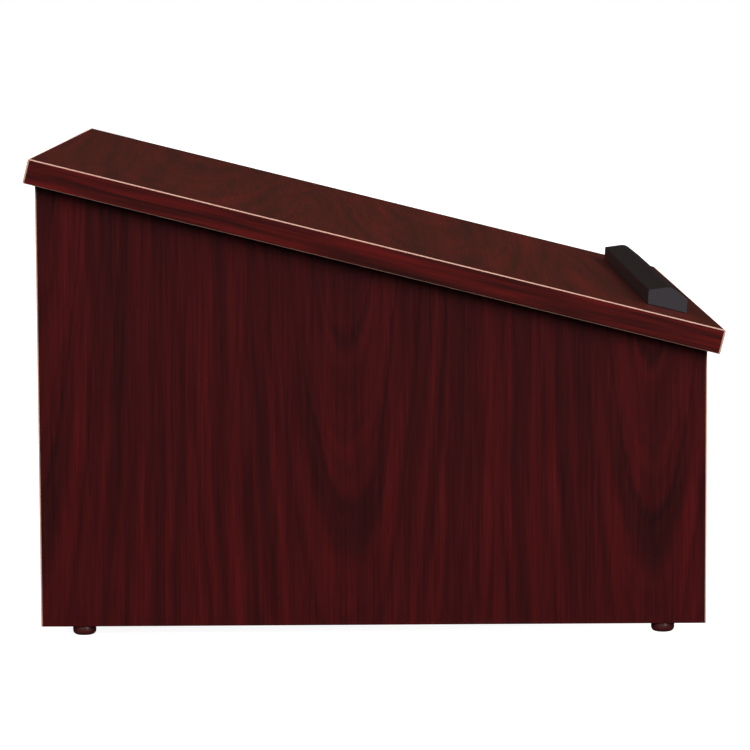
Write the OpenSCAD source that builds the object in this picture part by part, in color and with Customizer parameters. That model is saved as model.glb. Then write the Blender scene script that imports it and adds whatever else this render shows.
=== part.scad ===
// Tabletop lectern of laminated board: a sloping reading top with a book stop, carried by two
// side panels, a front panel and a shelf, and held together by cam fittings and dowels.
// X is the width, +Y points at the audience, +Z is up. The speaker stands at -Y.
// The origin is on the table, under the middle of the lectern's bounding box.

/* [Boards] */
// Thickness of every board
board_t = 18; // [16:1:19]
// Height of a side panel along its front edge
front_h = 322; // [280:1:380]
// Height of a side panel along its rear edge
rear_h = 200; // [160:1:240]
// Depth of a side panel, edge bands included
body_d = 485; // [420:1:540]
// Width across both side panels
body_w = 579; // [480:1:590]
// How far the front panel sits behind the side panels' front edges
front_inset = 6; // [2:1:20]
// Height of the shelf's underside above the side panels' bottom edges
shelf_lift = 30; // [25:1:60]
// How far the shelf ends short of the side panels' rear edges
shelf_inset = 10; // [2:1:40]

/* [Reading top] */
// Width of the reading top, edge bands included
top_w = 603; // [596:1:660]
// How far the top reaches past the side panels, front and rear, along the slope
top_overhang = 8; // [4:1:20]

/* [Edge bands] */
// Thickness of the band round the reading top
top_band_t = 1.2; // [1.2:0.1:3]
// Radius trimmed on the top band's long corners
top_band_r = 1; // [0.5:0.1:1.1]
// Thickness of the band on the side panels and the shelf
body_band_t = 1; // [0.8:0.1:1.5]
// Radius trimmed on the body band's long corners
body_band_r = 0.8; // [0.3:0.1:0.8]

/* [Book stop] */
// Length of the book stop
stop_l = 450; // [300:1:540]
// Width of the book stop on the reading top
stop_w = 30.5; // [24:0.5:40]
// Height of the book stop's sides
stop_side_h = 10.5; // [9.5:0.5:13]
// Height at which the two faces of its crown would meet
stop_crown_h = 17; // [14:0.5:20]
// Radius round the ridge where they meet
stop_ridge_r = 9; // [4:1:12]
// Angle by which both sides lean up the slope
stop_lean = 11; // [0:1:14]
// Distance from the top's low edge to the book stop
stop_gap = 21.5; // [10:0.5:60]

/* [Feet] */
// Diameter of a foot glide
foot_d = 17; // [14:1:18]
// Height of a foot glide
foot_h = 7; // [5:1:10]
// Radius round a glide's lower edge
foot_round = 3.5; // [2:0.5:3.5]
// Distance from a side panel's end to a glide's centre
foot_inset = 31; // [20:1:60]

/* [Fasteners] */
// Distance from a board's edge to the centre of a cam
cam_reach = 24; // [20:1:34]
// Diameter of a cam's bore
cam_bore_d = 15; // [15:1:16]
// Length of a dowel
dowel_l = 30; // [25:5:30]

/* [Hidden] */

$fn = 48;
BOTH = [-1, 1];                 // left side, right side
LEFT = -1;
RIGHT = 1;
eps = 0.1;                      // how far a cut runs past the face that it opens
arc_steps = 6;                  // facets in a quarter turn of a trimmed or rounded edge

laminate = "#451316";
band_face = "#5a1a19";
stop_black = "#2b2728";
glide_brown = "#3a1513";
zinc = "#a9abac";
steel = "#c3c5c8";
beech = "#d9b88a";

// The body. A side panel's sloping edge carries the top's underside.
slope = atan((front_h - rear_h) / body_d);
slope_l = body_d / cos(slope);
front_y = (body_d + board_t * sin(slope)) / 2;      // centres the leaning top's box on the origin
rear_y = front_y - body_d;
inner_x = body_w / 2 - board_t;                     // inner face of a side panel
middle_x = inner_x + board_t / 2;                   // middle of a side panel's thickness
front_panel_y = front_y - front_inset - board_t;    // the front panel's inner face
shelf_y = rear_y + shelf_inset;                     // the shelf's rear edge, band included
shelf_z = foot_h + shelf_lift;                      // the shelf's underside

// The top, measured up the slope from the side panels' front corner.
top_front = top_overhang;
top_rear = -slope_l - top_overhang;
top_l = top_front - top_rear;
stop_y = top_rear + stop_gap;

// Where the fittings sit, as distances from the ends of each joint.
cam_margin = 60;
dowel_margin = 110;
top_cam_y = [-cam_margin, cam_margin - slope_l];
top_dowel_y = [-dowel_margin, dowel_margin - slope_l];
front_cam_z = [shelf_z + 40, foot_h + front_h - 72];
front_dowel_z = [shelf_z + 80, foot_h + front_h - 112];
shelf_cam_y = [front_panel_y - cam_margin, shelf_y + cam_margin];
shelf_dowel_y = [front_panel_y - dowel_margin, shelf_y + dowel_margin];
shelf_cam_x = inner_x * 0.5;
shelf_dowel_x = inner_x * 0.75;

// A cam fitting: a cam in one board pulls on the head of a bolt screwed into the other.
cam_bore_h = 13.5;
cam_gap = 0.2;                  // clearance round the cam
cam_sunk = 0.7;                 // how far the cam's face lies below the board's face
cam_h = 12.3;
cam_slot = [8, 1.6, 2.5];       // one arm of the driver cross
bolt_bore_d = 8;
bolt_head_d = 6.4;
bolt_head_h = 3;
bolt_neck_d = 4;
bolt_neck_h = 4;
bolt_shaft_d = 6;
bolt_collar_d = 7.2;
bolt_collar_h = 1.5;
bolt_thread_d = 4.9;
bolt_thread_h = 11;
bolt_pilot_d = 5;
pilot_spare = 0.5;              // extra depth below a thread or a dowel

dowel_d = 7.9;
dowel_bore_d = 8;
dowel_in_face = 11;             // how much of a dowel sits in the board it meets face on
dowel_chamfer = 1;

// A countersunk screw that holds the book stop from below.
screw_x = [-0.42 * stop_l, 0, 0.42 * stop_l];
screw_d = 4;
screw_l = 25;
screw_head_d = 8;
screw_head_h = 2.2;
screw_sunk = 0.3;
screw_gap = 0.2;                // clearance round the screw in the top
screw_slot = [4.6, 0.9, 1.2];   // one arm of its driver cross

// A nail that holds a foot glide.
nail_d = 2;
nail_head_d = 5.4;
nail_head_h = 1.2;
nail_sunk = 0.5;
nail_in_panel = 14;
nail_recess_d = 6;
nail_gap = 0.1;                 // clearance round the nail

// Height of a side panel's sloping edge at depth y.
function slope_z(y) = foot_h + front_h - (front_y - y) * tan(slope);

// Points of an arc about a centre, from one angle to another.
function arc_points(centre, r, from, to) =
    [for (i = [0:arc_steps]) centre + r * [cos(from + (to - from) * i / arc_steps),
                                           sin(from + (to - from) * i / arc_steps)]];

// ---- Shared shapes and frames ----

// Extrudes a section drawn as [depth, height] along X, centred on x = 0.
module along_x(length) {
    translate([-length / 2, 0, 0])
        rotate([90, 0, 90])
            linear_extrude(length)
                children();
}

// The slope's own frame: origin at the side panels' front corner, +Y up the slope, +Z off it.
module on_slope() {
    translate([0, front_y, foot_h + front_h])
        rotate([slope, 0, 0])
            children();
}

// Everything above the side panels' sloping edge, to cut boards to the slope.
module above_slope() {
    on_slope()
        translate([-top_w, top_rear - body_d, 0])
            cube([2 * top_w, 3 * body_d, body_d]);
}

// Section of an edge band as [out of the board, across the board], its outer corners trimmed.
module band_section(width, thick, trim) {
    polygon(concat(
        [[0, 0]],
        arc_points([thick - trim, trim], trim, -90, 0),
        arc_points([thick - trim, width - trim], trim, 0, 90),
        [[0, width]]));
}

// A band lying along X with its outer face towards +Y.
module band_bar(length, thick, trim) {
    color(band_face)
        along_x(length)
            band_section(board_t, thick, trim);
}

// An upright band on a side panel, cut off at the slope. turn 0 faces +Y and turn 180 faces -Y.
module upright_band(x, y, turn) {
    color(band_face)
        difference() {
            translate([x, y, foot_h])
                rotate([0, 0, turn])
                    linear_extrude(front_h + board_t)
                        translate([board_t / 2, -body_band_t])
                            rotate(90)
                                band_section(board_t, body_band_t, body_band_r);
            above_slope();
        }
}

// Frames of the cam fittings: origin on the face of the cam's board, +Z out of that face,
// and +Y along the bolt towards the other board.
module top_cam_frames(sides = BOTH) {
    on_slope()
        for (side = sides, y = top_cam_y)
            translate([side * inner_x, y, -cam_reach])
                rotate([0, 0, -side * 90])
                    rotate([90, 0, 0])
                        children();
}

module front_cam_frames(sides = BOTH) {
    for (side = sides, z = front_cam_z)
        translate([side * (inner_x - cam_reach), front_panel_y, z])
            rotate([0, side * 90, 0])
                rotate([90, 0, 0])
                    children();
}

module shelf_side_cam_frames(sides = BOTH) {
    for (side = sides, y = shelf_cam_y)
        translate([side * (inner_x - cam_reach), y, shelf_z])
            rotate([0, 0, side * 90])
                rotate([180, 0, 0])
                    children();
}

module shelf_front_cam_frames() {
    for (side = BOTH)
        translate([side * shelf_cam_x, front_panel_y - cam_reach, shelf_z])
            rotate([0, 0, 180])
                rotate([180, 0, 0])
                    children();
}

// Frames of the dowels: origin where the boards meet, +Z into the board met face on.
module top_dowel_frames(sides = BOTH) {
    on_slope()
        for (side = sides, y = top_dowel_y)
            translate([side * middle_x, y, 0])
                children();
}

module front_dowel_frames(sides = BOTH) {
    for (side = sides, z = front_dowel_z)
        translate([side * inner_x, front_panel_y + board_t / 2, z])
            rotate([0, side * 90, 0])
                children();
}

module shelf_side_dowel_frames(sides = BOTH) {
    for (side = sides, y = shelf_dowel_y)
        translate([side * inner_x, y, shelf_z + board_t / 2])
            rotate([0, side * 90, 0])
                children();
}

module shelf_front_dowel_frames() {
    for (side = BOTH)
        translate([side * shelf_dowel_x, front_panel_y, shelf_z + board_t / 2])
            rotate([-90, 0, 0])
                children();
}

// Frames of the book stop's screws: origin on the top's underside, +Z up through the top.
module screw_frames() {
    on_slope()
        for (x = screw_x)
            translate([x, stop_y + stop_w / 2, 0])
                children();
}

// Frames of the foot glides: origin on the table.
module foot_frames(sides = BOTH, depths = [front_y - foot_inset, rear_y + foot_inset]) {
    for (side = sides, y = depths)
        translate([side * middle_x, y, 0])
            children();
}

// ---- Bores that the fittings need ----

module cam_bores() {
    translate([0, 0, -cam_bore_h])
        cylinder(d = cam_bore_d, h = cam_bore_h + eps);
    translate([0, 0, -board_t / 2])
        rotate([-90, 0, 0]) {
            cylinder(d = bolt_bore_d, h = cam_reach + eps);
            cylinder(d = bolt_pilot_d, h = cam_reach + bolt_thread_h + pilot_spare);
        }
}

module dowel_bores() {
    translate([0, 0, dowel_in_face - dowel_l - pilot_spare])
        cylinder(d = dowel_bore_d, h = dowel_l + 2 * pilot_spare);
}

module screw_bores() {
    translate([0, 0, -eps])
        cylinder(d = screw_d + 2 * screw_gap, h = board_t + 2 * eps);
    translate([0, 0, -eps])
        cylinder(d1 = screw_head_d + 4 * screw_gap, d2 = screw_d + 2 * screw_gap,
                 h = screw_head_h + screw_sunk + 2 * eps);
}

module screw_pilot() {
    cylinder(d = screw_d + eps, h = screw_sunk + screw_l + pilot_spare);
}

module nail_bore() {
    cylinder(d = nail_d + 2 * nail_gap, h = foot_h + nail_in_panel + pilot_spare);
}

// ---- Fittings ----

module driver_cross(slot) {
    for (turn = [0, 90])
        rotate([0, 0, turn])
            translate([-slot.x / 2, -slot.y / 2, -slot.z])
                cube([slot.x, slot.y, slot.z + eps]);
}

module cam() {
    color(zinc)
        difference() {
            translate([0, 0, -cam_sunk - cam_h])
                cylinder(d = cam_bore_d - 2 * cam_gap, h = cam_h);
            translate([0, 0, -cam_sunk])
                driver_cross(cam_slot);
            translate([0, -bolt_head_d / 2, -board_t / 2])
                rotate([-90, 0, 0])
                    cylinder(d = bolt_bore_d - 2 * cam_gap, h = cam_bore_d);
        }
}

module cam_bolt() {
    neck_end = bolt_head_h + bolt_neck_h;
    color(steel)
        translate([0, 0, -board_t / 2])
            rotate([-90, 0, 0])
                rotate_extrude()
                    polygon([
                        [0, 0], [bolt_neck_d / 2, 0],
                        [bolt_head_d / 2, bolt_head_h / 2], [bolt_head_d / 2, bolt_head_h],
                        [bolt_neck_d / 2, bolt_head_h], [bolt_neck_d / 2, neck_end],
                        [bolt_shaft_d / 2, neck_end], [bolt_shaft_d / 2, cam_reach - bolt_collar_h],
                        [bolt_collar_d / 2, cam_reach - bolt_collar_h], [bolt_collar_d / 2, cam_reach],
                        [bolt_thread_d / 2, cam_reach], [bolt_thread_d / 2, cam_reach + bolt_thread_h],
                        [0, cam_reach + bolt_thread_h]]);
}

module dowel() {
    color(beech)
        translate([0, 0, dowel_in_face - dowel_l])
            rotate_extrude()
                polygon([
                    [0, 0], [dowel_d / 2 - dowel_chamfer, 0], [dowel_d / 2, dowel_chamfer],
                    [dowel_d / 2, dowel_l - dowel_chamfer],
                    [dowel_d / 2 - dowel_chamfer, dowel_l], [0, dowel_l]]);
}

// ---- Boards ----

module reading_top() {
    color(laminate)
        difference() {
            on_slope()
                translate([top_band_t - top_w / 2, top_rear + top_band_t, 0])
                    cube([top_w - 2 * top_band_t, top_l - 2 * top_band_t, board_t]);
            top_cam_frames() cam_bores();
            top_dowel_frames() dowel_bores();
            screw_frames() screw_bores();
        }
}

module side_panel(side) {
    front = front_y - body_band_t;
    rear = rear_y + body_band_t;
    color(laminate)
        difference() {
            translate([side * middle_x, 0, 0])
                along_x(board_t)
                    polygon([[rear, foot_h], [front, foot_h],
                             [front, slope_z(front)], [rear, slope_z(rear)]]);
            top_cam_frames([side]) cam_bores();
            top_dowel_frames([side]) dowel_bores();
            front_cam_frames([side]) cam_bores();
            front_dowel_frames([side]) dowel_bores();
            shelf_side_cam_frames([side]) cam_bores();
            shelf_side_dowel_frames([side]) dowel_bores();
            foot_frames([side]) nail_bore();
        }
}

module left_side_panel() {
    side_panel(LEFT);
}

module right_side_panel() {
    side_panel(RIGHT);
}

// The front panel's upper edge is bevelled to the slope.
module front_panel() {
    color(laminate)
        difference() {
            translate([-inner_x, front_panel_y, foot_h])
                cube([2 * inner_x, board_t, front_h]);
            above_slope();
            front_cam_frames() cam_bores();
            front_dowel_frames() dowel_bores();
            shelf_front_cam_frames() cam_bores();
            shelf_front_dowel_frames() dowel_bores();
        }
}

module storage_shelf() {
    color(laminate)
        difference() {
            translate([-inner_x, shelf_y + body_band_t, shelf_z])
                cube([2 * inner_x, front_panel_y - shelf_y - body_band_t, board_t]);
            shelf_side_cam_frames() cam_bores();
            shelf_side_dowel_frames() dowel_bores();
            shelf_front_cam_frames() cam_bores();
            shelf_front_dowel_frames() dowel_bores();
        }
}

// ---- Edge bands ----

// The front and rear bands run the top's full width and cover the ends of the side bands.
module top_band_front() {
    on_slope()
        translate([0, top_front - top_band_t, 0])
            band_bar(top_w, top_band_t, top_band_r);
}

module top_band_rear() {
    on_slope()
        translate([0, top_rear + top_band_t, 0])
            rotate([0, 0, 180])
                band_bar(top_w, top_band_t, top_band_r);
}

module top_side_band(side) {
    on_slope()
        translate([side * (top_w / 2 - top_band_t), (top_front + top_rear) / 2, 0])
            rotate([0, 0, -side * 90])
                band_bar(top_l - 2 * top_band_t, top_band_t, top_band_r);
}

module top_band_left() {
    top_side_band(LEFT);
}

module top_band_right() {
    top_side_band(RIGHT);
}

module left_panel_band_front() {
    upright_band(LEFT * middle_x, front_y, 0);
}

module left_panel_band_rear() {
    upright_band(LEFT * middle_x, rear_y, 180);
}

module right_panel_band_front() {
    upright_band(RIGHT * middle_x, front_y, 0);
}

module right_panel_band_rear() {
    upright_band(RIGHT * middle_x, rear_y, 180);
}

module shelf_band_rear() {
    translate([0, shelf_y + body_band_t, shelf_z])
        rotate([0, 0, 180])
            band_bar(2 * inner_x, body_band_t, body_band_r);
}

// ---- Book stop ----

// Section as [up the slope, off the top]: two leaning sides under a crown like a low roof, its
// ridge rounded by an arc that meets both faces of the roof.
module stop_section() {
    lean = stop_side_h * tan(stop_lean);
    ridge = [(stop_w + lean) / 2, stop_crown_h];
    rise = stop_crown_h - stop_side_h;
    low_pitch = atan(rise / (ridge.x - lean));
    high_pitch = atan(rise / (stop_w + lean - ridge.x));
    middle = 90 + (low_pitch - high_pitch) / 2;
    reach = stop_ridge_r / cos((low_pitch + high_pitch) / 2);
    polygon(concat(
        [[0, 0], [stop_w, 0], [stop_w + lean, stop_side_h]],
        arc_points(ridge - reach * [cos(middle), sin(middle)], stop_ridge_r,
                   90 - high_pitch, 90 + low_pitch),
        [[lean, stop_side_h]]));
}

module book_stop() {
    color(stop_black)
        difference() {
            on_slope()
                translate([0, stop_y, board_t])
                    along_x(stop_l)
                        stop_section();
            screw_frames() screw_pilot();
        }
}

module book_stop_screws() {
    color(steel)
        screw_frames()
            translate([0, 0, screw_sunk])
                difference() {
                    rotate_extrude()
                        polygon([
                            [0, 0], [screw_head_d / 2, 0], [screw_d / 2, screw_head_h],
                            [screw_d / 2, screw_l - screw_d], [screw_d / 8, screw_l], [0, screw_l]]);
                    rotate([180, 0, 0])
                        driver_cross(screw_slot);
                }
}

// ---- Feet ----

// A nail-on glide: a short drum with a rounded lower edge and a recess for the nail's head.
module foot_glide(side, y) {
    r = foot_d / 2;
    color(glide_brown)
        foot_frames([side], [y])
            difference() {
                rotate_extrude($fn = 64)
                    polygon(concat(
                        [[0, 0]],
                        arc_points([r - foot_round, foot_round], foot_round, -90, 0),
                        [[r, foot_h], [0, foot_h]]));
                translate([0, 0, -eps])
                    cylinder(d = nail_recess_d, h = nail_sunk + nail_head_h + eps);
                translate([0, 0, -eps])
                    nail_bore();
            }
}

module foot_front_left() {
    foot_glide(LEFT, front_y - foot_inset);
}

module foot_front_right() {
    foot_glide(RIGHT, front_y - foot_inset);
}

module foot_rear_left() {
    foot_glide(LEFT, rear_y + foot_inset);
}

module foot_rear_right() {
    foot_glide(RIGHT, rear_y + foot_inset);
}

module foot_nails() {
    nail_l = foot_h - nail_sunk + nail_in_panel;
    color(steel)
        foot_frames()
            translate([0, 0, nail_sunk])
                rotate_extrude()
                    polygon([
                        [0, 0], [nail_head_d / 2, 0], [nail_head_d / 2, nail_head_h],
                        [nail_d / 2, nail_head_h], [nail_d / 2, nail_l - nail_d], [0, nail_l]]);
}

// ---- Cam fittings and dowels, joint by joint ----

module top_cams() {
    top_cam_frames() cam();
}

module top_bolts() {
    top_cam_frames() cam_bolt();
}

module top_dowels() {
    top_dowel_frames() dowel();
}

module front_panel_cams() {
    front_cam_frames() cam();
}

module front_panel_bolts() {
    front_cam_frames() cam_bolt();
}

module front_panel_dowels() {
    front_dowel_frames() dowel();
}

module shelf_cams() {
    shelf_side_cam_frames() cam();
    shelf_front_cam_frames() cam();
}

module shelf_bolts() {
    shelf_side_cam_frames() cam_bolt();
    shelf_front_cam_frames() cam_bolt();
}

module shelf_dowels() {
    shelf_side_dowel_frames() dowel();
    shelf_front_dowel_frames() dowel();
}

reading_top();
left_side_panel();
right_side_panel();
front_panel();
storage_shelf();
top_band_front();
top_band_rear();
top_band_left();
top_band_right();
left_panel_band_front();
left_panel_band_rear();
right_panel_band_front();
right_panel_band_rear();
shelf_band_rear();
book_stop();
book_stop_screws();
foot_front_left();
foot_front_right();
foot_rear_left();
foot_rear_right();
foot_nails();
top_cams();
top_bolts();
top_dowels();
front_panel_cams();
front_panel_bolts();
front_panel_dowels();
shelf_cams();
shelf_bolts();
shelf_dowels();
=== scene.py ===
import math

import bmesh
import bpy
from mathutils import Matrix, Vector


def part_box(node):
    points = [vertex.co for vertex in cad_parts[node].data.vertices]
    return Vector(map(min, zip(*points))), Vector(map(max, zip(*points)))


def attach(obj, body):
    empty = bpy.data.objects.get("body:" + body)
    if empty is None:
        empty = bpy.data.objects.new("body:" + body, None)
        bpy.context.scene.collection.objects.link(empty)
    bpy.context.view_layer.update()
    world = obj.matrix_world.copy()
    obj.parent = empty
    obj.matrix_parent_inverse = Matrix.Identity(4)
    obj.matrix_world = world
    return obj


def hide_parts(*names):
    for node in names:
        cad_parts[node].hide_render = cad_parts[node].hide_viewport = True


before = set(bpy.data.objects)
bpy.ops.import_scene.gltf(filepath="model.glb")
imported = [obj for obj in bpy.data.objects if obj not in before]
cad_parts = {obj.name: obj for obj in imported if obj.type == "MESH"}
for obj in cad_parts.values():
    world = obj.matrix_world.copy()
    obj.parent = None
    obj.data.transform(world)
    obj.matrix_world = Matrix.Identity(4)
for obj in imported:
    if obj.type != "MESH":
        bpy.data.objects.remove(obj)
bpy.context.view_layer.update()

# ---- Directions, and measures taken from the CAD, in metres ----

X, Y, Z = Vector((1, 0, 0)), Vector((0, 1, 0)), Vector((0, 0, 1))


def slope_axes():
    """Unit vectors up the slope and off it, from the side panels' two bands."""
    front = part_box("left_panel_band_front")[1]
    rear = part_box("left_panel_band_rear")[1]
    up = Vector((0, front.y - rear.y, front.z - rear.z)).normalized()
    return up, Vector((0, -up.z, up.y))


SLOPE, OFF = slope_axes()


def span(node, axis):
    """Where a CAD node starts and ends along an axis."""
    reach = [v.co.dot(axis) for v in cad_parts[node].data.vertices]
    return min(reach), max(reach)


# ---- Shader building ----


class Nodes:
    """Makes and links the nodes of one node tree."""

    def __init__(self, tree):
        self.tree = tree
        tree.nodes.clear()

    def node(self, kind, inputs=None, **settings):
        made = self.tree.nodes.new("ShaderNode" + kind)
        for key, value in settings.items():
            setattr(made, key, value)
        for key, value in (inputs or {}).items():
            self.feed(made.inputs[key], value)
        return made

    def feed(self, socket, value):
        if isinstance(value, bpy.types.NodeSocket):
            self.tree.links.new(value, socket)
        else:
            socket.default_value = value

    def math(self, operation, *values):
        made = self.node("Math", dict(enumerate(values)), operation=operation)
        return made.outputs[0]

    def dot(self, vector, axis):
        made = self.node("VectorMath", {0: vector, 1: axis}, operation="DOT_PRODUCT")
        return made.outputs["Value"]

    def times(self, value, factor):
        return self.math("MULTIPLY", value, factor)

    def absolute(self, value):
        return self.math("ABSOLUTE", value)

    def weighted(self, first, share, second, second_share):
        """The sum of two values, each times its share."""
        return self.math("MULTIPLY_ADD", first, share, self.times(second, second_share))

    def vector(self, x, y, z):
        return self.node("CombineXYZ", {"X": x, "Y": y, "Z": z}).outputs[0]

    def noise(self, vector, scale, detail, roughness):
        inputs = {"Vector": vector, "Scale": scale, "Detail": detail, "Roughness": roughness}
        return self.node("TexNoise", inputs).outputs[0]

    def streaks(self, across, along, streak, seed):
        """Noise drawn out along the grain, by a streak of (across, along, detail, roughness)."""
        per_across, per_along, detail, roughness = streak
        place = self.vector(self.times(across, per_across), self.times(along, per_along), seed)
        return self.noise(place, 1.0, detail, roughness)

    def cell_colours(self, vector, scale):
        return self.node("TexVoronoi", {"Vector": vector, "Scale": scale}).outputs["Color"]

    def remap(self, value, low, high, to_low=0.0, to_high=1.0, smooth=False):
        inputs = {"Value": value, "From Min": low, "From Max": high,
                  "To Min": to_low, "To Max": to_high}
        kind = "SMOOTHSTEP" if smooth else "LINEAR"
        return self.node("MapRange", inputs, interpolation_type=kind).outputs[0]

    def ramp(self, value, stops):
        made = self.node("ValToRGB", {"Fac": value})
        points = made.color_ramp.elements
        while len(points) < len(stops):
            points.new(1.0)
        for point, (at, colour) in zip(points, stops):
            point.position = at
            point.color = (*colour, 1.0)
        return made.outputs["Color"]

    def blend(self, factor, first, second):
        made = self.node("Mix", data_type="RGBA")
        for socket, value in zip((0, 6, 7), (factor, first, second)):
            if isinstance(value, tuple):
                value = (*value, 1.0)
            self.feed(made.inputs[socket], value)
        return made.outputs[2]

    def bump(self, height, distance):
        return self.node("Bump", {"Height": height, "Distance": distance}).outputs[0]


class Shader(Nodes):
    """One procedural material, built node by node."""

    def __init__(self, name):
        self.material = bpy.data.materials.new(name)
        self.material.use_nodes = True
        super().__init__(self.material.node_tree)
        coordinates = self.node("TexCoord")
        self.place = coordinates.outputs["Object"]
        self.normal = coordinates.outputs["Normal"]

    def facing(self, axis):
        """1 where the surface faces along the axis or against it, and 0 where it lies along it."""
        return self.absolute(self.dot(self.normal, axis))

    def finish(self, **inputs):
        """Feeds the surface's sockets, named with underscores for spaces."""
        surface = self.node("BsdfPrincipled")
        for key, value in inputs.items():
            if isinstance(value, tuple):
                value = (*value, 1.0)
            self.feed(surface.inputs[key.replace("_", " ")], value)
        output = self.node("OutputMaterial")
        self.tree.links.new(surface.outputs[0], output.inputs["Surface"])
        return self.material


# ---- Materials ----

NOISE_RANGE = (0.3, 0.7)            # where most values of a noise lie

# The mahogany print, from its darkest line to its lightest.
PRINT_STOPS = [
    (0.00, (0.0190, 0.0024, 0.0028)),
    (0.30, (0.0340, 0.0027, 0.0031)),
    (0.52, (0.0500, 0.0030, 0.0034)),
    (0.74, (0.0700, 0.0034, 0.0041)),
    (1.00, (0.0980, 0.0041, 0.0050)),
]
# The top's print is browner, and its lift also greys it with a painted sheen; the bands' print is
# a little redder.
TOP_BROWN_AND_SHEEN_LIFT, TOP_TINT = (0.008, 0.0034, 0.0), (0.86, 0.7, 0.6)
BAND_LIFT, BAND_TINT = (0.0, 0.0, 0.0), (1.15, 1.1, 0.7)


def tinted(lift, tint):
    """The print's colours, each channel times its tint and then lifted."""
    return [(at, tuple(low + share * channel for low, share, channel in zip(lift, tint, colour)))
            for at, colour in PRINT_STOPS]


# The top's stops carry a painted sheen in their lift as well as a browner print.
TOP_STOPS = tinted(TOP_BROWN_AND_SHEEN_LIFT, TOP_TINT)
BAND_STOPS = tinted(BAND_LIFT, BAND_TINT)

# The print's streaks: how many to a metre across the grain and along it, detail, roughness.
WOBBLE_STREAK = (22.0, 2.6, 3.0, 0.6)
RING_STREAK = (170.0, 3.0, 4.0, 0.62)
FIBRE_STREAK = (560.0, 15.0, 3.0, 0.68)
BROAD_STREAK = (42.0, 1.6, 4.0, 0.6)
JAG_STREAK = (480.0, 34.0, 3.0, 0.65)
PATCH_STREAK = (17.0, 6.0, 2.0, 0.5)
PORE_STREAK = (2300.0, 110.0, 1.0, 0.5)
BAND_LINE_STREAK = (620.0, 13.0, 4.0, 0.7)
BAND_BROAD_STREAK = (190.0, 9.0, 2.0, 0.5)

# How far the grain drifts sideways and a ring wobbles, and how softly two hearts join: metres.
DRIFT, WOBBLE, HEART_JOIN = 0.018, 0.010, 0.012
DRIFT_SCALE = 3.2


def grain_field(s, along, across, figures, seed):
    """Growth rings cut by the board's face: each figure is one heart that the rings run round."""
    drift = s.noise(s.vector(across, along, seed), DRIFT_SCALE, 2.0, 0.5)
    wide = s.math("MULTIPLY_ADD", s.math("SUBTRACT", drift, 0.5), DRIFT, across)
    ring = None
    for centre, depth, taper in figures:
        aside = s.math("SUBTRACT", wide, centre)
        below = s.math("MULTIPLY_ADD", along, -taper, depth)
        radius = s.math("SQRT", s.math("ADD", s.times(aside, aside), s.times(below, below)))
        ring = radius if ring is None else s.math("SMOOTH_MIN", ring, radius, HEART_JOIN)
    wobble = s.math("SUBTRACT", s.streaks(across, along, WOBBLE_STREAK, seed), 0.5)
    return s.math("MULTIPLY_ADD", wobble, WOBBLE, ring)


EDGES_PER_M = 75.0                  # one turn is the step from one line to the next
EDGE_PHASE, EDGE_JAG = 0.13, 0.275  # in turns
EDGE_HALF_W = (0.012, 0.085)        # in turns, from full dark to none
EDGE_FADE = (0.030, 0.060)          # the ring sizes over which the lines grow faint
EDGE_FAR = 0.15                     # how strong the faint ones stay
EDGE_PATCHES = (0.36, 0.52)         # from patches without lines to patches with them


def ring_edges(s, ring, along, across, seed):
    """Thin jagged lines along some of the rings near each heart."""
    jag = s.streaks(across, along, JAG_STREAK, seed)
    count = s.math("MULTIPLY_ADD", ring, EDGES_PER_M, EDGE_PHASE)
    turn = s.math("FRACT", s.math("MULTIPLY_ADD", jag, EDGE_JAG, count))
    off_line = s.absolute(s.math("SUBTRACT", turn, 0.5))
    line = s.remap(off_line, *EDGE_HALF_W, 1.0, 0.0, smooth=True)
    near = s.remap(ring, *EDGE_FADE, 1.0, EDGE_FAR)
    patches = s.streaks(across, along, PATCH_STREAK, seed + 2.0)
    return s.times(line, s.times(near, s.remap(patches, *EDGE_PATCHES)))


LINE_SHARE, FIBRE_SHARE, BROAD_SHARE = 0.36, 0.30, 0.34
PRINT_RANGE = (0.350, 0.660)        # what becomes the darkest line and the lightest
EDGE_DARK = 0.38
FLANK_RING, FLANK_LIGHT = 0.037, 0.12
FLANK_REACH = (0.001, 0.008)        # metres off the flank's ring, from full light to none


def wood_value(s, along, across, figures, seed):
    """0 on the darkest line of the print and 1 on the lightest. The fibres come with it."""
    ring = grain_field(s, along, across, figures, seed)
    lines = s.streaks(ring, along, RING_STREAK, seed)
    fibres = s.streaks(across, along, FIBRE_STREAK, seed)
    broad = s.streaks(across, along, BROAD_STREAK, seed + 5.0)
    mixed = s.math("ADD", s.times(lines, LINE_SHARE), s.times(fibres, FIBRE_SHARE))
    mixed = s.math("MULTIPLY_ADD", broad, BROAD_SHARE, mixed)
    edges = ring_edges(s, ring, along, across, seed)
    off_flank = s.absolute(s.math("SUBTRACT", ring, FLANK_RING))
    flank = s.remap(off_flank, *FLANK_REACH, FLANK_LIGHT, 0.0, smooth=True)
    value = s.math("ADD", s.remap(mixed, *PRINT_RANGE), flank)
    return s.math("MULTIPLY_ADD", edges, -EDGE_DARK, value), fibres


CHIP_SCALE, CHIP_TONE_SCALE = 420.0, 160.0
CHIP_STOPS = [(0.25, (0.16, 0.10, 0.055)), (0.55, (0.34, 0.23, 0.13)), (0.85, (0.52, 0.38, 0.23))]


def board_core(s):
    """Pressed wood chips, seen on cut edges and inside bores. Their height comes with them."""
    chips = s.cell_colours(s.place, CHIP_SCALE)
    tone = s.noise(s.place, CHIP_TONE_SCALE, 4.0, 0.7)
    return s.ramp(s.weighted(tone, 0.6, chips, 0.4), CHIP_STOPS), tone


PORE = (0.012, 0.0028, 0.0032)
PORE_RANGE, PORE_DARK, PORE_DEPTH = (0.60, 0.72), 0.35, 0.6
ON_FACE = (0.90, 0.97)              # how squarely the surface faces out, from core to print
CHIP_HEIGHT = 6.0                   # the chips' relief, times the print's
FACE_ROUGH, CORE_ROUGH = (0.36, 0.46), 0.85
FACE_BUMP, FACE_SPECULAR = 0.00004, 0.12


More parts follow.
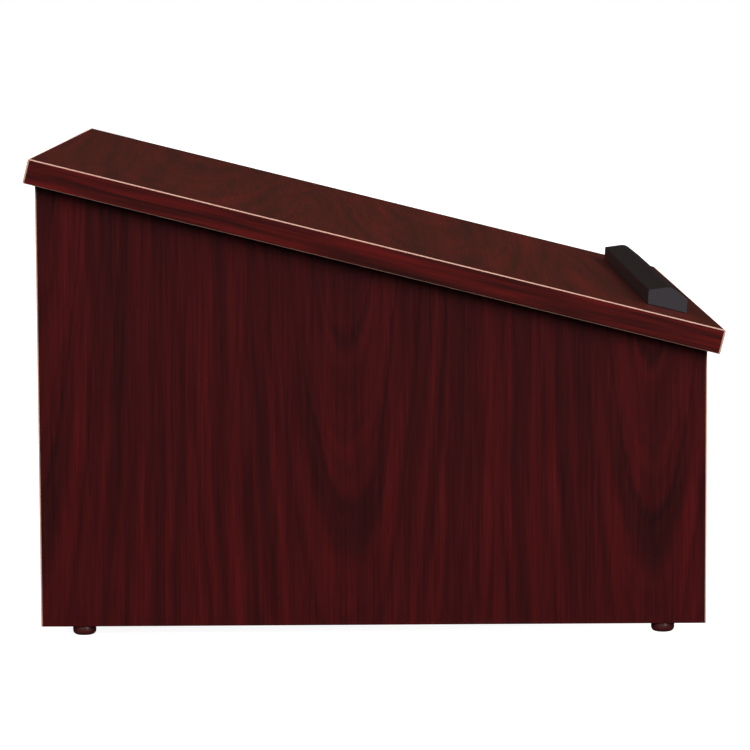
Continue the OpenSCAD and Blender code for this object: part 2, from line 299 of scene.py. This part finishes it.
def laminate(name, along_axis, across_axis, figures, seed, stops=PRINT_STOPS):
    """Mahogany print on both faces of a board, with bare core on its cut edges."""
    s = Shader(name)
    along = s.dot(s.place, along_axis)
    across = s.dot(s.place, across_axis)
    value, fibres = wood_value(s, along, across, figures, seed)
    pore = s.remap(s.streaks(across, along, PORE_STREAK, seed), *PORE_RANGE, smooth=True)
    printed = s.blend(s.times(pore, PORE_DARK), s.ramp(value, stops), PORE)
    core, chip = board_core(s)
    on_face = s.remap(s.facing(along_axis.cross(across_axis)), *ON_FACE)
    relief = s.math("MULTIPLY_ADD", pore, -PORE_DEPTH, fibres)
    chip_share = s.math("SUBTRACT", CHIP_HEIGHT, s.times(on_face, CHIP_HEIGHT))
    height = s.math("ADD", s.times(relief, on_face), s.times(chip, chip_share))
    print_rough = s.remap(fibres, *NOISE_RANGE, *FACE_ROUGH)
    rough = s.math("MAXIMUM", print_rough, s.remap(on_face, 0.0, 1.0, CORE_ROUGH, 0.0))
    return s.finish(Base_Color=s.blend(on_face, core, printed), Roughness=rough,
                    Normal=s.bump(height, FACE_BUMP), Specular_IOR_Level=FACE_SPECULAR)


BAND_RANGE = (0.36, 0.62)
BAND_CORE_STOPS = [(0.3, (0.52, 0.29, 0.22)), (0.7, (0.62, 0.36, 0.28))]
BAND_CORE_SCALE = 900.0
BAND_FACE = (0.94, 0.975)           # how squarely the surface faces out, from core to print
BAND_SHADE_UNDER_FACE = (0.84, 0.93)      # the same, where it also faces down; there the dark print is painted over the core as painted shade
BAND_SHADE_UNDER = (-0.30, -0.10)         # how far up it faces, from facing down to not
BAND_CORE_ROUGH, BAND_FACE_ROUGH = 0.62, 0.40
BAND_BUMP, BAND_SPECULAR = 0.00003, 0.15


def edge_band(name, along_axis, out_axis):
    """A printed band, its grain lengthwise. Its core shows at cut ends and trimmed corners.

    On the corners that face down, the dark print is painted over more of the pale core, as painted
    shade.
    """
    s = Shader(name)
    along = s.dot(s.place, along_axis)
    across = s.dot(s.place, along_axis.cross(out_axis))
    lines = s.streaks(across, along, BAND_LINE_STREAK, 0.0)
    broad = s.streaks(across, along, BAND_BROAD_STREAK, 4.0)
    printed = s.ramp(s.remap(s.weighted(lines, 0.5, broad, 0.5), *BAND_RANGE), BAND_STOPS)
    speck = s.noise(s.place, BAND_CORE_SCALE, 2.0, 0.5)
    core = s.ramp(speck, BAND_CORE_STOPS)
    turned = s.dot(s.normal, out_axis)
    under = s.remap(s.dot(s.normal, Z), *BAND_SHADE_UNDER, 1.0, 0.0)
    # painted shade: on down-facing corners the dark print covers the pale core
    painted_shade_under = s.times(under, s.remap(turned, *BAND_SHADE_UNDER_FACE, smooth=True))
    on_face = s.math("MAXIMUM", s.remap(turned, *BAND_FACE, smooth=True), painted_shade_under)
    rough = s.remap(on_face, 0.0, 1.0, BAND_CORE_ROUGH, BAND_FACE_ROUGH)
    height = s.weighted(lines, 0.7, speck, 0.3)
    return s.finish(Base_Color=s.blend(on_face, core, printed), Roughness=rough,
                    Normal=s.bump(height, BAND_BUMP), Specular_IOR_Level=BAND_SPECULAR)


STOP_SKIN_STOPS = [(0.3, (0.0105, 0.0056, 0.0056)), (0.7, (0.0160, 0.0082, 0.0082))]
STOP_END_STOPS = [(0.3, (0.034, 0.030, 0.034)), (0.7, (0.045, 0.040, 0.045))]
DRAWN_ALONG, DRAWN_ACROSS = 3.0, 900.0      # drawing lines to a metre
GRIT_SCALE = 1800.0
ON_END = (0.86, 0.97)               # how squarely the surface faces along the bar
SKIN_ROUGH, END_ROUGH = 0.42, 0.70
STOP_BUMP, STOP_SPECULAR = 0.00004, 0.15


def stop_plastic():
    """Extruded black plastic, with paler, rougher ends."""
    s = Shader("stop_plastic_black")
    drawn_place = s.vector(s.times(s.dot(s.place, X), DRAWN_ALONG),
                           s.times(s.dot(s.place, Y), DRAWN_ACROSS),
                           s.times(s.dot(s.place, Z), DRAWN_ACROSS))
    drawn = s.noise(drawn_place, 1.0, 3.0, 0.6)
    grit = s.noise(s.place, GRIT_SCALE, 2.0, 0.6)
    on_end = s.remap(s.facing(X), *ON_END, smooth=True)
    # Both ends of the bar are painted paler and made rougher than its skin.
    colour = s.blend(on_end, s.ramp(drawn, STOP_SKIN_STOPS), s.ramp(grit, STOP_END_STOPS))
    rough = s.remap(on_end, 0.0, 1.0, SKIN_ROUGH, END_ROUGH)
    height = s.weighted(grit, 0.6, drawn, 0.4)
    return s.finish(Base_Color=colour, Roughness=rough, Normal=s.bump(height, STOP_BUMP),
                    Specular_IOR_Level=STOP_SPECULAR)


GLIDE_STOPS = [(0.3, (0.050, 0.0070, 0.0066)), (0.7, (0.076, 0.0100, 0.0092))]
GLIDE_SCUFF_AND_HIGHLIGHT = (0.110, 0.060, 0.052)
SCUFF_AND_HIGHLIGHT_TOP = (0.0004, 0.0022)        # heights off the table, from full scuff and painted highlight to none
SCUFF_AND_HIGHLIGHT_PATCHES = (0.4, 0.7)
GLIDE_ROUGH, SCUFF_ROUGH = (0.27, 0.36), 0.3
MOTTLE_SCALE, GLIDE_BUMP = 500.0, 0.00002


def glide_plastic():
    """Glossy brown moulded plastic, with pale pinkish patches near where it meets the table:
    scuff, and a painted highlight.
    """
    s = Shader("glide_plastic_brown")
    mottle = s.noise(s.place, MOTTLE_SCALE, 3.0, 0.6)
    # The pale pinkish patches near the foot are scuff and a painted highlight.
    scuff_and_highlight = s.remap(s.dot(s.place, Z), *SCUFF_AND_HIGHLIGHT_TOP, 1.0, 0.0, smooth=True)
    scuff_and_highlight_patches = s.times(scuff_and_highlight, s.remap(mottle, *SCUFF_AND_HIGHLIGHT_PATCHES))
    colour = s.blend(scuff_and_highlight_patches, s.ramp(mottle, GLIDE_STOPS), GLIDE_SCUFF_AND_HIGHLIGHT)
    moulded_rough = s.remap(mottle, *NOISE_RANGE, *GLIDE_ROUGH)
    rough = s.math("MULTIPLY_ADD", scuff_and_highlight, SCUFF_ROUGH, moulded_rough)
    return s.finish(Base_Color=colour, Roughness=rough, Normal=s.bump(mottle, GLIDE_BUMP))


METAL_SPREAD, METAL_BUMP = 0.08, 0.00003
CLOUD_SCALE = 0.12                  # the cloud's scale, as a share of the grain's


def metal(name, low, high, rough, scale):
    """Bare metal with a fine grain, cast or plated."""
    s = Shader(name)
    grain = s.noise(s.place, scale, 4.0, 0.65)
    cloud = s.noise(s.place, scale * CLOUD_SCALE, 2.0, 0.5)
    colour = s.ramp(s.weighted(cloud, 0.5, grain, 0.5), [(0.3, low), (0.7, high)])
    grain_rough = s.remap(grain, *NOISE_RANGE, rough - METAL_SPREAD, rough + METAL_SPREAD)
    return s.finish(Base_Color=colour, Metallic=1.0, Roughness=grain_rough,
                    Normal=s.bump(grain, METAL_BUMP))


BEECH_STOPS = [(0.3, (0.46, 0.29, 0.15)), (0.7, (0.66, 0.46, 0.27))]
BEECH_ROUGH, BEECH_BUMP = (0.55, 0.70), 0.00005
FLECK_SCALE, BEECH_TONE_SCALE = 1400.0, 120.0


def beech():
    """Dowel wood, with short flecks."""
    s = Shader("dowel_beech_wood")
    fleck = s.noise(s.place, FLECK_SCALE, 3.0, 0.7)
    tone = s.noise(s.place, BEECH_TONE_SCALE, 2.0, 0.5)
    colour = s.ramp(s.weighted(tone, 0.6, fleck, 0.4), BEECH_STOPS)
    return s.finish(Base_Color=colour, Roughness=s.remap(fleck, *NOISE_RANGE, *BEECH_ROUGH),
                    Normal=s.bump(fleck, BEECH_BUMP))


def dress(node, material):
    """Gives a CAD node that stays its finished material."""
    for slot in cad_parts[node].material_slots:
        slot.material = material


# Each figure is a heart: its centre across the board, its depth below the face, its taper.
SIDE_FIGURES = ((0.250, 0.050, 0.08), (0.020, 0.053, 0.11), (-0.198, 0.0522, 0.11))
FRONT_FIGURES = ((-0.17, 0.040, 0.06), (0.06, 0.046, 0.08), (0.26, 0.050, 0.07))
FLAT_FIGURES = ((-0.20, 0.066, 0.05), (0.02, 0.060, 0.06), (0.22, 0.064, 0.05))


def dress_boards():
    """The boards, each with its grain's direction, the direction across it, and its own seed."""
    dress("left_side_panel", laminate("laminate_left_side", Z, Y, SIDE_FIGURES, 1.0))
    dress("right_side_panel", laminate("laminate_right_side", Z, Y, SIDE_FIGURES, 7.0))
    dress("front_panel", laminate("laminate_front", Z, X, FRONT_FIGURES, 3.0))
    dress("reading_top", laminate("laminate_top", X, SLOPE, FLAT_FIGURES, 4.0, TOP_STOPS))
    dress("storage_shelf", laminate("laminate_shelf", X, Y, FLAT_FIGURES, 9.0))


def dress_bands():
    """The bands, each with the direction that it runs in and the direction that it faces."""
    for node, along, out in (
        ("top_band_front", X, SLOPE),
        ("top_band_rear", X, -SLOPE),
        ("top_band_left", SLOPE, -X),
        ("top_band_right", SLOPE, X),
        ("left_panel_band_front", Z, Y),
        ("left_panel_band_rear", Z, -Y),
        ("right_panel_band_front", Z, Y),
        ("right_panel_band_rear", Z, -Y),
        ("shelf_band_rear", X, -Y),
    ):
        dress(node, edge_band("edge_band_" + node, along, out))


# A metal's darkest and lightest colour, its roughness, and its grain's scale.
ZINC = ((0.36, 0.37, 0.38), (0.55, 0.56, 0.57), 0.42, 700.0)
STEEL = ((0.48, 0.49, 0.50), (0.66, 0.67, 0.69), 0.28, 900.0)


def dress_fasteners():
    """The cams, bolts, dowels, screws and nails."""
    zinc = metal("cam_zinc_cast", *ZINC)
    steel = metal("fastener_steel_plated", *STEEL)
    wood = beech()
    for joint in ("top", "front_panel", "shelf"):
        dress(joint + "_cams", zinc)
        dress(joint + "_bolts", steel)
        dress(joint + "_dowels", wood)
    dress("book_stop_screws", steel)
    dress("foot_nails", steel)


# ---- Camera, light and floor ----

CAMERA_PLACE = (-2.8079, 0.0142, 0.4603)
CAMERA_YAW, CAMERA_PITCH, CAMERA_ROLL = map(math.radians, (-0.312, -6.120, -0.276))
CAMERA_LENS, CAMERA_SENSOR_W = 167.98, 36.0     # millimetres
CAMERA_NEAR = 0.05


def make_camera():
    """A long lens square on to the left side, a little above it."""
    data = bpy.data.cameras.new("camera")
    data.lens = CAMERA_LENS
    data.sensor_width = CAMERA_SENSOR_W
    data.clip_start = CAMERA_NEAR
    camera = bpy.data.objects.new("camera", data)
    bpy.context.scene.collection.objects.link(camera)
    level = math.cos(CAMERA_PITCH)
    forward = Vector((level * math.cos(CAMERA_YAW), level * math.sin(CAMERA_YAW),
                      math.sin(CAMERA_PITCH)))
    right = forward.cross(Z).normalized()
    up = right.cross(forward)
    c, s = math.cos(CAMERA_ROLL), math.sin(CAMERA_ROLL)
    right, up = c * right + s * up, c * up - s * right
    turn = Matrix((right, up, -forward)).transposed().to_4x4()
    camera.matrix_world = Matrix.Translation(CAMERA_PLACE) @ turn
    bpy.context.scene.camera = camera


# The dome's level at each height of direction, from -1 straight down to 1 straight up.
DOME_LEVELS = ((-0.05, 0.0), (0.0, 0.07), (0.15, 0.13), (0.35, 0.83),
               (0.6, 1.0), (0.85, 0.08), (1.0, 0.12))
DOME_STRENGTH = 2.75
DOME_LEAN = 0.57                    # how much more light comes from the left than from above
GLOSS_HAZE = 0.03                   # what the gloss shows of the dome


def make_world():
    """A white backdrop, and a soft dome that is brightest at half height and to the left.

    The gloss shows an even haze in place of the dome.
    """
    world = bpy.data.worlds.new("studio")
    bpy.context.scene.world = world
    world.use_nodes = True
    t = Nodes(world.node_tree)
    aim = t.node("TexCoord").outputs["Generated"]
    stops = [((height + 1) / 2, (level, level, level)) for height, level in DOME_LEVELS]
    colour = t.ramp(t.remap(t.dot(aim, Z), -1.0, 1.0), stops)
    lean = t.math("MULTIPLY_ADD", t.dot(aim, X), -DOME_LEAN, 1.0)
    dome = t.node("Background", {"Color": colour, "Strength": t.times(lean, DOME_STRENGTH)})
    haze = t.node("Background", {"Strength": GLOSS_HAZE})
    backdrop = t.node("Background", {"Color": (1.0, 1.0, 1.0, 1.0)})
    path = t.node("LightPath")
    lit = t.node("MixShader", {0: path.outputs["Is Glossy Ray"], 1: dome.outputs[0],
                               2: haze.outputs[0]})
    seen = t.node("MixShader", {0: path.outputs["Is Camera Ray"], 1: lit.outputs[0],
                                2: backdrop.outputs[0]})
    t.node("OutputWorld", {"Surface": seen.outputs[0]})


CARD_AIM = Vector((0, 0, 0.15))


def soft_card(name, place, size, power):
    """A soft area light that faces the object."""
    data = bpy.data.lights.new(name, "AREA")
    data.shape = "RECTANGLE"
    data.size, data.size_y = size
    data.energy = power
    card = bpy.data.objects.new(name, data)
    card.location = place
    card.rotation_euler = (CARD_AIM - Vector(place)).to_track_quat("-Z", "Y").to_euler()
    bpy.context.scene.collection.objects.link(card)
    card.visible_camera = False
    return card


# Each card's name, place, size and power in watts.
GLOSS_CARDS = (
    ("card_overhead", (0.0, 0.0, 2.6), (2.4, 2.4), 12.0),
    ("card_left", (-2.4, -1.2, 1.3), (0.5, 1.6), 12.0),
)
FILL_CARDS = (
    ("card_right", (2.6, -1.6, 0.9), (1.2, 1.2), 26.0),
    ("card_inside", (0.0, -2.4, 0.4), (0.4, 0.4), 34.0),
)


def make_lights():
    """Cards that only the gloss shows, and cards that only fill the far side and the inside."""
    for card in GLOSS_CARDS:
        soft_card(*card).visible_diffuse = False
    for card in FILL_CARDS:
        soft_card(*card).visible_glossy = False


FLOOR_R = 9.0
FLOOR_TONE = (0.35, 0.35, 0.35)
FLOOR_GLOW = 0.93


def make_floor():
    """A plain pale floor that leaves the object's own light alone."""
    shape = bmesh.new()
    bmesh.ops.create_circle(shape, cap_ends=True, radius=FLOOR_R, segments=96)
    mesh = bpy.data.meshes.new("floor")
    shape.to_mesh(mesh)
    shape.free()
    floor = bpy.data.objects.new("floor", mesh)
    bpy.context.scene.collection.objects.link(floor)
    material = Shader("floor_pale").finish(
        Base_Color=FLOOR_TONE, Roughness=1.0, Specular_IOR_Level=0.0,
        Emission_Color=(1.0, 1.0, 1.0), Emission_Strength=FLOOR_GLOW)
    mesh.materials.append(material)
    floor.visible_diffuse = False
    floor.visible_glossy = False
    floor.visible_shadow = False


# ---- Pieces that replace CAD nodes ----


def add_piece(name, shape, material, slot, *nodes):
    """Puts a finished mesh in the scene in the place of its CAD nodes."""
    bmesh.ops.recalc_face_normals(shape, faces=shape.faces)
    mesh = bpy.data.meshes.new(name)
    shape.to_mesh(mesh)
    shape.free()
    mesh.polygons.foreach_set("use_smooth", [True] * len(mesh.polygons))
    mesh.materials.append(material)
    piece = bpy.data.objects.new(name, mesh)
    bpy.context.scene.collection.objects.link(piece)
    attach(piece, "root")
    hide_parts(*nodes)
    return piece


# The book stop's section: two leaning sides under a low roof with a rounded ridge.
STOP_W = 0.0305
STOP_SIDE_H = 0.0105
STOP_CROWN_H = 0.017
STOP_RIDGE_R = 0.009
STOP_LEAN = math.radians(11.0)
STOP_EDGE_R = 0.0006
STOP_EDGE_SHARP = math.radians(28.0)
RIDGE_STEPS = 24


def stop_section():
    """The stop's section as (up the slope, off the top), round from its low edge."""
    lean = STOP_SIDE_H * math.tan(STOP_LEAN)
    ridge = (STOP_W + lean) / 2
    rise = STOP_CROWN_H - STOP_SIDE_H
    low_pitch = math.atan(rise / (ridge - lean))
    high_pitch = math.atan(rise / (STOP_W + lean - ridge))
    middle = math.pi / 2 + (low_pitch - high_pitch) / 2
    reach = STOP_RIDGE_R / math.cos((low_pitch + high_pitch) / 2)
    up = ridge - reach * math.cos(middle)
    off = STOP_CROWN_H - reach * math.sin(middle)
    first, last = math.pi / 2 - high_pitch, math.pi / 2 + low_pitch
    points = [(0.0, 0.0), (STOP_W, 0.0), (STOP_W + lean, STOP_SIDE_H)]
    for i in range(RIDGE_STEPS + 1):
        a = first + (last - first) * i / RIDGE_STEPS
        points.append((up + STOP_RIDGE_R * math.cos(a), off + STOP_RIDGE_R * math.sin(a)))
    return points + [(lean, STOP_SIDE_H)]


def round_edges(piece):
    """Rounds the stop's sharp edges and keeps its flat faces flat."""
    edge = piece.modifiers.new("round_edges", "BEVEL")
    edge.width = STOP_EDGE_R
    edge.segments = 3
    edge.limit_method = "ANGLE"
    edge.angle_limit = STOP_EDGE_SHARP
    edge.harden_normals = True


def make_book_stop():
    """The bar that holds a book on the slope, from end to end of its CAD node."""
    start = span("book_stop", SLOPE)[0]
    base = span("book_stop", OFF)[0]
    section = stop_section()
    shape = bmesh.new()
    ends = [[shape.verts.new(X * x + SLOPE * (start + up) + OFF * (base + off))
             for up, off in section] for x in span("book_stop", X)]
    for i in range(len(section)):
        j = (i + 1) % len(section)
        shape.faces.new((ends[0][i], ends[0][j], ends[1][j], ends[1][i]))
    for end in ends:
        shape.faces.new(end)
    piece = add_piece("book_stop_bar", shape, stop_plastic(), "stop_plastic", "book_stop")
    round_edges(piece)


TURNS = 72


def lathe(shape, profile, place):
    """Turns a closed profile of (radius, height) round an upright axis."""
    rings = []
    for radius, height in profile:
        around = (math.tau * i / TURNS for i in range(TURNS))
        rings.append([shape.verts.new(place + Vector((radius * math.cos(a), radius * math.sin(a),
                                                      height))) for a in around])
    for lower, upper in zip(rings, rings[1:] + rings[:1]):
        for i in range(TURNS):
            j = (i + 1) % TURNS
            shape.faces.new((lower[i], lower[j], upper[j], upper[i]))


# A glide: its nail's hole, the seat for the nail's head, the rounded lower edge, and the rim
# that steps in under the panel.
HOLE_R = 0.0011
SEAT_R, SEAT_H, SEAT_LIP = 0.003, 0.0017, 0.0003
SOLE_R, SOLE_STEPS = 0.0034, 12
RIM_STEP, RIM_H = 0.0004, 0.0009
GLIDE_SHARP = math.radians(40.0)


def glide_profile(radius, height):
    """A glide's closed half section, from its nail seat out and up to the panel and back."""
    points = [(HOLE_R, SEAT_H), (SEAT_R - SEAT_LIP, SEAT_H), (SEAT_R, SEAT_H - SEAT_LIP),
              (SEAT_R, SEAT_LIP), (SEAT_R + SEAT_LIP, 0.0)]
    for i in range(SOLE_STEPS + 1):
        a = math.radians(-90 + 90 * i / SOLE_STEPS)
        points.append((radius - SOLE_R + SOLE_R * math.cos(a), SOLE_R + SOLE_R * math.sin(a)))
    return points + [(radius, height - RIM_H), (radius - RIM_STEP, height - RIM_STEP),
                     (radius - RIM_STEP, height), (HOLE_R, height)]


def make_glides():
    """The four nail-on glides, each as wide and as high as its CAD node."""
    material = glide_plastic()
    for node in ("foot_front_left", "foot_front_right", "foot_rear_left", "foot_rear_right"):
        low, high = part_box(node)
        place = Vector(((low.x + high.x) / 2, (low.y + high.y) / 2, low.z))
        shape = bmesh.new()
        lathe(shape, glide_profile((high.x - low.x) / 2, high.z - low.z), place)
        name = node.replace("foot", "glide")
        piece = add_piece(name, shape, material, "glide_plastic", node)
        piece.data.set_sharp_from_angle(angle=GLIDE_SHARP)


# ---- Build ----

make_camera()
make_world()
make_lights()
make_floor()
bpy.context.scene.view_settings.view_transform = "Standard"
dress_boards()
dress_bands()
dress_fasteners()
make_book_stop()
make_glides()
